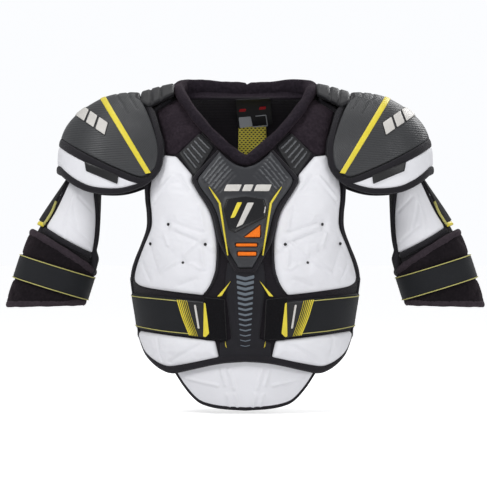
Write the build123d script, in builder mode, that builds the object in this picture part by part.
from build123d import *
import os
from math import cos, radians, sin

# Ice hockey shoulder pads, senior size, in millimetres. +Z is up, the wearer faces -Y and the wearer's
# left is +X. The origin is on the ground plane below the middle of the trunk, level with the lowest
# point of the belly pad.
#
# The trunk is built from layers round a trunk form, a smooth stack of ellipses. A layer is the space
# between two gaps measured outwards from that form, and a panel is a layer cut to its outline seen from
# the front. The shoulder caps and the arms are layers round forms of their own. The left side is built
# and the right side is its mirror image.

os.makedirs("parts", exist_ok=True)

# ---------------------------------------------------------------- trunk form and its layers
# height, half width, half depth, how far the ellipse's centre lies behind the origin
TRUNK_STATIONS = [
    (-10, 139, 101, 0),
    (60, 145, 110, 0),
    (120, 151, 116, 0),
    (180, 160, 119, 0),
    (260, 169, 117, 0),
    (330, 178, 104, 2),
    (380, 180, 88, 6),
    (420, 172, 66, 12),
    (440, 154, 45, 16),
    (452, 130, 27, 19),
    (458, 106, 13, 20),
]
SHOULDER_START = 380  # above this height a gap also raises the form

LINER = (0, 5)
BELLY = (-8.5, -1.5)
LABEL = (-3.2, -2.4)
MESH = (-2.0, -0.8)
PATCH = (5.2, 5.8)
STRAP = (6.2, 8.4)
TAB = (8.7, 10.0)
PAD = (5.5, 13.5)
CENTRE_PAD = (5.5, 10.5)
COLLARBONE = (5.5, 9.5)
INSERT = (10.8, 14.4)
PLATE = (12.0, 15.5)
EMBLEM = (15.8, 17.6)
TACK = (6.0, 13.9)

SIDE_SPLIT = 8  # front and back liners stop this far from the mid plane, for the side opening
REACH = 200  # longer than half the depth of anything
HIGH = 520  # above the whole object

# ---------------------------------------------------------------- small dimensions
COLLAR_RADIUS = 9
COLLAR_PATH = [
    (-16, -103, 353),
    (10, -99, 366.5),
    (30, -91, 382),
    (50, -78, 400),
    (70, -60, 422),
    (86, -32, 446),
    (96, -4, 463),
    (98, 20, 470),
    (91, 42, 474),
    (66, 58, 475),
    (33, 66, 470),
    (0, 68, 466),
    (-12, 68, 466),
]
LOOP_PLACE = (0, 78.5, 463.2)
LOOP_WIDTH = 46
LOOP_HEIGHT = 15
LOOP_RIBBON = 5
LOOP_THICKNESS = 1.2
TACK_RADIUS = 1.8
TACK_CLEARANCE = 0.15
TACK_PLACES = [(57.8, 239.6), (90.2, 213.5), (111.5, 268.5), (137.5, 240.5)]
STRAP_HINGE_Y = -13
STRAP_HINGE_GAP = 1
SIDE_ELASTIC_FRONT_Y = -9  # far enough behind the hinge line for the strap to swing clear
SIDE_ELASTIC_REAR_Y = 72
SPINE_FACE_Y = 134.6
SPINE_SIDE = [(24, 128), (36, 160), (36, 262), (24, 300)]
TRUNK_TO_CAP = 15  # the cap base keeps this far from the trunk form

# ---------------------------------------------------------------- shoulder cap form
CAP_CENTRE_Y = 5
CAP_CENTRE_Z = 335
# distance from the middle, half height, half depth
CAP_STATIONS = [
    (112, 104, 96),
    (130, 115, 100),
    (155, 126, 101),
    (180, 126, 100),
    (205, 120, 97),
    (228, 108, 90),
    (248, 93, 77),
    (262, 76, 60),
    (270, 58, 42),
    (274, 38, 24),
]
CAP_SHELL = (-2.6, 0)
CAP_BASE = (-9, -3)
CAP_FOAM = (-14, -9.5)
CAP_STRIPE = (0.3, 1.3)
CAP_BADGE = (0.3, 2.0)

# ---------------------------------------------------------------- shoulder arch form
ARCH_CENTRE_Z = 400
ARCH_CENTRE_Y = 14
ARCH_STATIONS = [(111, 74.5, 72), (126, 71, 76), (152, 63.5, 84)]
ARCH_LAYER = (-6.5, 0)

# ---------------------------------------------------------------- arm form
ARM_TILT = 17  # how far the hanging arm leans out, in degrees
ARM_ORIGIN = (244, 0, 313)
ARM_UP = (-sin(radians(ARM_TILT)), 0, cos(radians(ARM_TILT)))
ARM_OUT = (cos(radians(ARM_TILT)), 0, sin(radians(ARM_TILT)))
# height along the arm, shift outwards, half width, half depth
ARM_STATIONS = [
    (45, -7, 20, 32),
    (14, -7, 28, 38),
    (-56, -5, 47, 46),
    (-105, -2, 50, 49),
    (-195, -1, 50, 49),
]
GUARD = (-6, 0)
CUFF = (1.0, 5.0)
BAND = (5.6, 7.6)
LENGTH_STRAP = (0.8, 3.2)
GUARD_BACK_Y = 12  # the guard is open behind this
BAND_HEIGHTS = (-144.5, -108.5)
BAND_SPLIT = 1.5
HANGER_HALF_WIDTH = 18
HANGER_THICKNESS = 3
HANGER_PATH = [(154, 10, 441), (182, 6, 430), (206, 2, 406), (219, 0, 372)]

# ---------------------------------------------------------------- planes for outlines
# Plane.XZ faces -Y, so a sketch on it is drawn in X and Z and extrudes forwards.
FRONT = Plane.XZ.offset(SIDE_SPLIT)
BACK = Plane.XZ.offset(-SIDE_SPLIT)
MIDDLE = Plane.XZ
ARM_AXIS = Plane(origin=ARM_ORIGIN, x_dir=ARM_OUT, z_dir=ARM_UP)
ARM_FACE = Plane(origin=ARM_ORIGIN, x_dir=ARM_OUT, z_dir=(0, -1, 0))


def mirrored(points):
    """The same outline points on the other side of the middle, in the reverse order."""
    return [(-x, z) for x, z in reversed(points)]


def trunk_form(gap):
    """The solid trunk form, swollen by a gap."""
    with BuildPart() as form:
        for height, half_width, half_depth, behind in TRUNK_STATIONS:
            lift = gap if height > SHOULDER_START else 0
            with BuildSketch(Plane((0, behind, height + lift))):
                Ellipse(half_width + gap, half_depth + gap)
        loft()
    return form.part


def cap_form(gap):
    """The solid dome of the left shoulder cap, swollen by a gap."""
    with BuildPart() as form:
        for distance, half_height, half_depth in CAP_STATIONS:
            out = gap if distance == CAP_STATIONS[-1][0] else 0
            centre = (distance + out, CAP_CENTRE_Y, CAP_CENTRE_Z)
            with BuildSketch(Plane(centre, x_dir=(0, 1, 0), z_dir=(1, 0, 0))):
                Ellipse(half_depth + gap, half_height + gap)
        loft()
    return form.part


def arch_form(gap):
    """The solid tunnel of the left shoulder arch, swollen by a gap."""
    with BuildPart() as form:
        for distance, half_height, half_depth in ARCH_STATIONS:
            centre = (distance, ARCH_CENTRE_Y, ARCH_CENTRE_Z)
            with BuildSketch(Plane(centre, x_dir=(0, 1, 0), z_dir=(1, 0, 0))):
                Ellipse(half_depth + gap, half_height + gap)
        loft()
    return form.part


def arm_form(gap):
    """The solid form of the left upper arm, swollen by a gap."""
    with BuildPart() as form:
        for height, shift, half_width, half_depth in ARM_STATIONS:
            with BuildSketch(ARM_AXIS.offset(height)):
                with Locations((shift, 0)):
                    Ellipse(half_width + gap, half_depth + gap)
        loft()
    return form.part


def forms(build, *layers):
    """Each form that the layers need, by its gap."""
    return {gap: build(gap) for gap in sorted({gap for layer in layers for gap in layer})}


CLOTH_LAYERS = [LINER, BELLY, LABEL, MESH, PATCH, STRAP, TAB]
PAD_LAYERS = [PAD, CENTRE_PAD, COLLARBONE, INSERT, PLATE, EMBLEM, TACK]
TRUNK = forms(trunk_form, *CLOTH_LAYERS, *PAD_LAYERS)
CAP = forms(cap_form, CAP_SHELL, CAP_BASE, CAP_FOAM, CAP_STRIPE, CAP_BADGE)
ARCH = forms(arch_form, ARCH_LAYER)
ARM = forms(arm_form, GUARD, CUFF, BAND, LENGTH_STRAP)


def keep_layer(family, layer):
    """Cuts the part being built down to one layer of a form."""
    inner, outer = layer
    add(family[outer], mode=Mode.INTERSECT)
    add(family[inner], mode=Mode.SUBTRACT)


def save(builder, name):
    """Labels a finished piece and writes it under its own name."""
    builder.part.label = name
    export_step(builder.part, f"parts/{name}.step")


def save_pair(left, name):
    """Writes a left piece and its mirror image."""
    save(left, f"left_{name}")
    with BuildPart() as right:
        mirror(left.part, about=Plane.YZ)
    save(right, f"right_{name}")


# ================================================================ trunk, front

# The outer edge of the collar roll, seen from the front, from the V's tip to the top of the shoulder
COLLAR_EDGE = [(0, 349), (11, 353.5), (36, 372.5), (56, 390.5), (66.8, 402)]
COLLAR_EDGE_TOP = [(82, 421), (97, 441), (106, 456), (108.5, 470)]
YOKE_FOOT = (105, 370.5)
ARMHOLE = [(124, 370), (141, 332), (140.5, 280), (150, 236), (168, 196)]
ARMHOLE_RIGHT = mirrored(ARMHOLE)
HEM = [(172, 100), (149, 84), (132, 66), (110, 54), (92, 56), (40, 68)]

with BuildPart() as front_liner:
    with BuildSketch(FRONT):
        with BuildLine():
            edge = Spline(*COLLAR_EDGE[1:])
            Line(edge @ 1, YOKE_FOOT)
            Line(YOKE_FOOT, ARMHOLE[0])
            armhole = Spline(*ARMHOLE)
            Polyline(armhole @ 1, *HEM, *mirrored(HEM), ARMHOLE_RIGHT[0])
            armhole_right = Spline(*ARMHOLE_RIGHT)
            Polyline(armhole_right @ 1, *mirrored([COLLAR_EDGE[-1], YOKE_FOOT]))
            edge_right = Spline(*mirrored(COLLAR_EDGE[1:]))
            Polyline(edge_right @ 1, COLLAR_EDGE[0], edge @ 0)
        make_face()
    extrude(amount=REACH)
    keep_layer(TRUNK, LINER)
save(front_liner, "front_liner")

with BuildPart() as left_chest_pad:
    with BuildSketch(FRONT):
        with BuildLine():
            outer_edge = Spline((119, 366), (133.5, 328), (133, 276), (145, 232), (160, 196))
            bottom = Polyline(outer_edge @ 1, (158, 183), (62, 168), (56, 174))
            inner_edge = Spline(bottom @ 1, (43.5, 207), (43, 241), (53, 287), (70, 313))
            Polyline(inner_edge @ 1, (79, 329), (78, 339), (100, 364), outer_edge @ 0)
        make_face()
    extrude(amount=REACH)
    with BuildSketch(MIDDLE):
        with Locations(*TACK_PLACES):
            Circle(TACK_RADIUS + TACK_CLEARANCE)
    extrude(amount=REACH, mode=Mode.SUBTRACT)
    keep_layer(TRUNK, PAD)
save_pair(left_chest_pad, "chest_pad")

with BuildPart() as chest_tacks:
    with BuildSketch(FRONT):
        with Locations(*TACK_PLACES, *mirrored(TACK_PLACES)):
            Circle(TACK_RADIUS)
    extrude(amount=REACH)
    keep_layer(TRUNK, TACK)
save(chest_tacks, "chest_tacks")

with BuildPart() as left_rib_pad:
    with BuildSketch(FRONT):
        with BuildLine():
            Polyline((44, 101.5), (154, 113), (147, 86), (120, 67), (109, 64), (40, 77), close=True)
        make_face()
    extrude(amount=REACH)
    keep_layer(TRUNK, PAD)
save_pair(left_rib_pad, "rib_pad")

with BuildPart() as left_collarbone_plate:
    with BuildSketch(FRONT):
        with BuildLine():
            Polyline((98, 371.5), (66, 401), (46, 381), (70.5, 340), (75, 341), close=True)
        make_face()
    extrude(amount=REACH)
    keep_layer(TRUNK, COLLARBONE)
save_pair(left_collarbone_plate, "collarbone_plate")

CENTRE_PAD_SIDE = [(26, 206), (26, 162), (20, 104), (37, 98), (37, 76)]

with BuildPart() as centre_pad:
    with BuildSketch(FRONT):
        with BuildLine():
            Polyline(*CENTRE_PAD_SIDE, *mirrored(CENTRE_PAD_SIDE), close=True)
        make_face()
    extrude(amount=REACH)
    keep_layer(TRUNK, CENTRE_PAD)
save(centre_pad, "centre_pad")

with BuildPart() as left_loop_patch:
    with BuildSketch(FRONT):
        with BuildLine():
            Polyline((30, 160), (62, 163), (62, 104), (27, 102), close=True)
        make_face()
    extrude(amount=REACH)
    keep_layer(TRUNK, PATCH)
save_pair(left_loop_patch, "loop_patch")

# The sternum plate: wide under the collar, narrow at its foot, with three windows for the foam behind it
PLATE_SIDE = [
    (35.5, 371),
    (67, 336),
    (68, 329.5),
    (61, 316.5),
    (48, 299.5),
    (39.5, 280.5),
    (34, 256),
    (20, 224),
    (10, 206),
]
WINDOW_TRIANGLE = [(-2, 249), (21, 249), (21, 266)]
WINDOW_BARS = [((1.5, 239.5), 30, 4.6), ((1.5, 226), 25, 5.4)]
WINDOW_CLEARANCE = 0.5

with BuildPart() as sternum_plate:
    with BuildSketch(FRONT):
        with BuildLine():
            Polyline((0, 347.5), (11, 351.5), *PLATE_SIDE, *mirrored(PLATE_SIDE), (-11, 351.5), close=True)
        make_face()
        with BuildLine():
            Polyline(*WINDOW_TRIANGLE, close=True)
        make_face(mode=Mode.SUBTRACT)
        for place, width, height in WINDOW_BARS:
            with Locations(place):
                Rectangle(width, height, mode=Mode.SUBTRACT)
    extrude(amount=REACH)
    keep_layer(TRUNK, PLATE)
save(sternum_plate, "sternum_plate")

with BuildPart() as sternum_foam:
    with BuildSketch(FRONT):
        with BuildLine():
            Polyline(*WINDOW_TRIANGLE, close=True)
        make_face()
        offset(amount=-WINDOW_CLEARANCE)
        for place, width, height in WINDOW_BARS:
            with Locations(place):
                Rectangle(width - 2 * WINDOW_CLEARANCE, height - 2 * WINDOW_CLEARANCE)
    extrude(amount=REACH)
    keep_layer(TRUNK, INSERT)
save(sternum_foam, "sternum_foam")

EMBLEM_SIDE = [(27, 305), (31, 290), (24, 272)]

with BuildPart() as emblem:
    with BuildSketch(FRONT):
        with BuildLine():
            Polyline((0, 309), *EMBLEM_SIDE, (0, 270), *mirrored(EMBLEM_SIDE), close=True)
        make_face()
    extrude(amount=REACH)
    keep_layer(TRUNK, EMBLEM)
save(emblem, "emblem")

# The belly pad hangs inside the front hem
with BuildPart() as belly_pad:
    with BuildSketch(FRONT):
        with BuildLine():
            side = Spline((103, 56), (86, 29), (67, 11.5), (42, 4.5))
            foot = Polyline(side @ 1, (0, 0), (-42, 4.5))
            side_right = Spline(foot @ 1, (-67, 11.5), (-86, 29), (-103, 56))
            Polyline(side_right @ 1, (-101, 70), (-40, 86), (40, 86), (101, 70), side @ 0)
        make_face()
    extrude(amount=REACH)
    keep_layer(TRUNK, BELLY)
save(belly_pad, "belly_pad")

# ================================================================ trunk, shoulders and neck

YOKE_REAR_Z = 431.5
YOKE_INNER_X = 108.5
YOKE_OUTER_X = 150
YOKE_REAR_Y = 20

with BuildPart() as left_yoke:
    with BuildSketch(Plane.XZ.offset(-YOKE_REAR_Y)):
        with BuildLine():
            foot = Polyline((118, 371.5), (105.5, 371.5), (67.5, 405))
            rim = Spline(foot @ 1, *COLLAR_EDGE_TOP)
            top = Polyline(rim @ 1, (YOKE_INNER_X, HIGH), (YOKE_OUTER_X, HIGH))
            Polyline(top @ 1, (YOKE_OUTER_X, 431), (126, 400), foot @ 0)
        make_face()
    extrude(amount=REACH)
    with BuildSketch(Plane.XZ.offset(-YOKE_REAR_Y)):
        with BuildLine():
            rear = [(YOKE_INNER_X, YOKE_REAR_Z), (YOKE_OUTER_X, YOKE_REAR_Z)]
            Polyline(*rear, (YOKE_OUTER_X, HIGH), (YOKE_INNER_X, HIGH), close=True)
        make_face()
    extrude(amount=-REACH)
    keep_layer(TRUNK, LINER)
save_pair(left_yoke, "yoke")

# The roll is swept round the left half of the neck, cut at the middle and mirrored
with BuildPart() as neck_collar:
    with BuildLine() as neck:
        Spline(*COLLAR_PATH)
    with BuildSketch(Plane(origin=neck.line @ 0, z_dir=neck.line % 0)):
        Circle(COLLAR_RADIUS)
    sweep(path=neck.line)
    split(bisect_by=Plane.YZ)
    mirror(about=Plane.YZ)
save(neck_collar, "neck_collar")

# ================================================================ trunk, back

BACK_ARMHOLE = [(148, 424), (143, 340), (141, 280), (150, 236), (168, 196)]
BACK_ARMHOLE_RIGHT = mirrored(BACK_ARMHOLE)
BACK_HEM = [(172, 118), (150, 98), (112, 88)]

with BuildPart() as back_liner:
    with BuildSketch(BACK):
        with BuildLine():
            top = Polyline((-95, 454), (95, 454), (107, 430), BACK_ARMHOLE[0])
            armhole = Spline(*BACK_ARMHOLE)
            Polyline(armhole @ 1, *BACK_HEM, *mirrored(BACK_HEM), BACK_ARMHOLE_RIGHT[0])
            armhole_right = Spline(*BACK_ARMHOLE_RIGHT)
            Polyline(armhole_right @ 1, (-107, 430), top @ 0)
        make_face()
    extrude(amount=-REACH)
    keep_layer(TRUNK, LINER)
save(back_liner, "back_liner")

with BuildPart() as left_back_pad:
    with BuildSketch(BACK):
        with BuildLine():
            inner = Polyline((42, 182), (42, 330), (58, 398), (92, 398), (119, 366))
            outer = Spline(inner @ 1, (133, 328), (133, 276), (144, 232), (158, 196))
            Polyline(outer @ 1, (156, 182), inner @ 0)
        make_face()
    extrude(amount=-REACH)
    keep_layer(TRUNK, PAD)
save_pair(left_back_pad, "back_pad")

# The spine plate is a block with a flat outer face, hollowed to sit on the back liner
with BuildPart() as spine_plate:
    with BuildSketch(BACK):
        with BuildLine():
            Polyline(*SPINE_SIDE, *mirrored(SPINE_SIDE), close=True)
        make_face()
    extrude(amount=-(SPINE_FACE_Y - SIDE_SPLIT))
    add(TRUNK[PAD[0]], mode=Mode.SUBTRACT)
save(spine_plate, "spine_plate")

with BuildPart() as back_mesh:
    with BuildSketch(BACK):
        with BuildLine():
            Polyline((-30, 120), (30, 120), (27, 412), (-27, 412), close=True)
        make_face()
    extrude(amount=-REACH)
    keep_layer(TRUNK, MESH)
save(back_mesh, "back_mesh")

# A flat ribbon loop sewn on the back of the collar, to hang the pads up by
with BuildPart() as hanger_loop:
    with BuildSketch(Plane(LOOP_PLACE, x_dir=(1, 0, 0), z_dir=(0, -1, 0))):
        SlotOverall(LOOP_WIDTH, LOOP_HEIGHT)
        SlotOverall(LOOP_WIDTH - 2 * LOOP_RIBBON, LOOP_HEIGHT - 2 * LOOP_RIBBON, mode=Mode.SUBTRACT)
    extrude(amount=LOOP_THICKNESS)
save(hanger_loop, "hanger_loop")

with BuildPart() as neck_label:
    with BuildSketch(BACK):
        with BuildLine():
            Polyline((-16, 448), (38, 451), (41, 414), (-12, 408), close=True)
        make_face()
    extrude(amount=-REACH)
    keep_layer(TRUNK, LABEL)
save(neck_label, "neck_label")

# ================================================================ trunk straps

with BuildPart() as left_trunk_strap:
    with BuildSketch(Plane.XZ.offset(-STRAP_HINGE_Y + STRAP_HINGE_GAP)):
        with BuildLine():
            Polyline((180, 171), (100, 162.5), (46, 157), (46, 104.5), (78, 108), (180, 120), close=True)
        make_face()
    extrude(amount=REACH)
    keep_layer(TRUNK, STRAP)
save_pair(left_trunk_strap, "trunk_strap")

with BuildPart() as left_pull_tab:
    with BuildSketch(FRONT):
        with BuildLine():
            Polyline((97, 161), (55, 157), (50, 112), (56, 105.5), (78, 107.5), close=True)
        make_face()
    extrude(amount=REACH)
    keep_layer(TRUNK, TAB)
save_pair(left_pull_tab, "pull_tab")

# The elastic between the strap's hinge line and the back
with BuildPart() as left_side_elastic:
    with BuildSketch(Plane.XZ.offset(-SIDE_ELASTIC_FRONT_Y)):
        with BuildLine():
            Polyline((100, 171), (180, 171), (180, 120), (100, 120), close=True)
        make_face()
    extrude(amount=-(SIDE_ELASTIC_REAR_Y - SIDE_ELASTIC_FRONT_Y))
    keep_layer(TRUNK, STRAP)
save_pair(left_side_elastic, "side_elastic")

# ================================================================ shoulder arches and caps

ARCH_INNER_X = 111.5
ARCH_OUTER_X = 151.5

with BuildPart() as left_arch:
    with BuildSketch(MIDDLE):
        with BuildLine():
            foot = [(ARCH_INNER_X, 456), (129, 446), (140, 442), (ARCH_OUTER_X, 448)]
            Polyline(*foot, (ARCH_OUTER_X, HIGH), (ARCH_INNER_X, HIGH), close=True)
        make_face()
    extrude(amount=REACH, both=True)
    keep_layer(ARCH, ARCH_LAYER)
save_pair(left_arch, "shoulder_arch")

CAP_TOP_X = 154.5
BEYOND_CAP = 290

with BuildPart() as left_cap_base:
    with BuildSketch(MIDDLE):
        with BuildLine():
            inner = Spline((121, 347), (117.5, 372), (121.5, 405), (129, 434))
            top = Polyline(inner @ 1, (CAP_TOP_X, 448), (CAP_TOP_X, HIGH), (BEYOND_CAP, HIGH))
            side = Polyline(top @ 1, (BEYOND_CAP, 345), (270, 340))
            Spline(side @ 1, (247, 322), (222, 314), (185, 312), (151, 320), inner @ 0)
        make_face()
    extrude(amount=REACH, both=True)
    keep_layer(CAP, CAP_BASE)
    add(trunk_form(TRUNK_TO_CAP), mode=Mode.SUBTRACT)
save_pair(left_cap_base, "cap_base")

with BuildPart() as left_cap_foam:
    with BuildSketch(MIDDLE):
        with BuildLine():
            Polyline((166, 372), (250, 372), (250, HIGH), (166, HIGH), close=True)
        make_face()
    extrude(amount=REACH, both=True)
    keep_layer(CAP, CAP_FOAM)
save_pair(left_cap_foam, "cap_foam")

with BuildPart() as left_cap_shell:
    with BuildSketch(MIDDLE):
        with BuildLine():
            inner = Spline((129.5, 366), (131, 394), (140, 420), (152, 441))
            top = Polyline(inner @ 1, (CAP_TOP_X, 449), (CAP_TOP_X, HIGH), (BEYOND_CAP, HIGH))
            Polyline(top @ 1, (BEYOND_CAP, 404.5), (152, 335), (137, 346), inner @ 0)
        make_face()
    extrude(amount=REACH, both=True)
    keep_layer(CAP, CAP_SHELL)
save_pair(left_cap_shell, "cap_shell")

with BuildPart() as left_cap_stripe:
    with BuildSketch(MIDDLE):
        with BuildLine():
            Polyline((137, 347), (144, 341), (212, 453), (216, HIGH), (205, HIGH), (202, 455), close=True)
        make_face()
    extrude(amount=REACH, both=True)
    keep_layer(CAP, CAP_STRIPE)
save_pair(left_cap_stripe, "cap_stripe")

BADGE_STEP = 15

with BuildPart() as left_cap_badge:
    with BuildSketch(MIDDLE):
        for shift in (0, BADGE_STEP):
            with BuildLine():
                foot = [(209 + shift, 404), (221 + shift, 400)]
                Polyline(*foot, (233 + shift, 421), (221 + shift, 425), close=True)
            make_face()
    extrude(amount=REACH)
    keep_layer(CAP, CAP_BADGE)
save_pair(left_cap_badge, "cap_badge")

# ================================================================ arms

GUARD_FOOT = -100
GUARD_TOP = 44
ARM_REACH = 80  # beyond the arm on either side of its axis

with BuildPart() as left_bicep_guard:
    with BuildSketch(ARM_FACE.offset(-GUARD_BACK_Y)):
        with BuildLine():
            guard_foot = [(-ARM_REACH, GUARD_FOOT), (ARM_REACH, GUARD_FOOT)]
            Polyline(*guard_foot, (ARM_REACH, GUARD_TOP), (-ARM_REACH, GUARD_TOP), close=True)
        make_face()
    extrude(amount=REACH)
    keep_layer(ARM, GUARD)
save_pair(left_bicep_guard, "bicep_guard")

with BuildPart() as left_bicep_cuff:
    with BuildSketch(ARM_FACE):
        with BuildLine():
            cuff_top = [(-ARM_REACH, -106), (ARM_REACH, -61)]
            Polyline(*cuff_top, (ARM_REACH, -190.5), (-ARM_REACH, -148), close=True)
        make_face()
    extrude(amount=REACH, both=True)
    keep_layer(ARM, CUFF)
save_pair(left_bicep_cuff, "bicep_cuff")

# The cuff's elastic band: its front half opens, its back half is sewn down
BAND_HEIGHT = BAND_HEIGHTS[1] - BAND_HEIGHTS[0]
BAND_MIDDLE = sum(BAND_HEIGHTS) / 2

with BuildPart() as left_cuff_band:
    with BuildSketch(ARM_FACE.offset(BAND_SPLIT)):
        with Locations((0, BAND_MIDDLE)):
            Rectangle(2 * ARM_REACH, BAND_HEIGHT)
    extrude(amount=REACH)
    keep_layer(ARM, BAND)
save_pair(left_cuff_band, "cuff_band")

with BuildPart() as left_cuff_band_rear:
    with BuildSketch(ARM_FACE.offset(-BAND_SPLIT)):
        with Locations((0, BAND_MIDDLE)):
            Rectangle(2 * ARM_REACH, BAND_HEIGHT)
    extrude(amount=-REACH)
    keep_layer(ARM, BAND)
save_pair(left_cuff_band_rear, "cuff_band_rear")

with BuildPart() as left_length_strap:
    with BuildSketch(ARM_FACE):
        with BuildLine():
            Polyline((17, 42), (19, 11), (29.5, -54), (ARM_REACH, -54), (ARM_REACH, 42), close=True)
        make_face()
    extrude(amount=REACH)
    keep_layer(ARM, LENGTH_STRAP)
save_pair(left_length_strap, "length_strap")

with BuildPart() as left_length_tab:
    with BuildSketch(ARM_FACE):
        with BuildLine():
            Polyline((30, -54.8), (32, -60), (ARM_REACH, -60), (ARM_REACH, -54.8), close=True)
        make_face()
    extrude(amount=REACH)
    keep_layer(ARM, LENGTH_STRAP)
save_pair(left_length_tab, "length_tab")

# The webbing hidden under the cap: it curves from the yoke's outer edge down to the top of the guard
with BuildPart() as left_arm_hanger:
    with BuildLine() as course:
        Spline(*HANGER_PATH, tangents=[(1, 0, -0.1), (0.2, 0, -1)])
    with BuildSketch(Plane(origin=course.line @ 0, x_dir=(0, 1, 0), z_dir=course.line % 0)):
        Rectangle(2 * HANGER_HALF_WIDTH, HANGER_THICKNESS)
    sweep(path=course.line)
save_pair(left_arm_hanger, "arm_hanger")
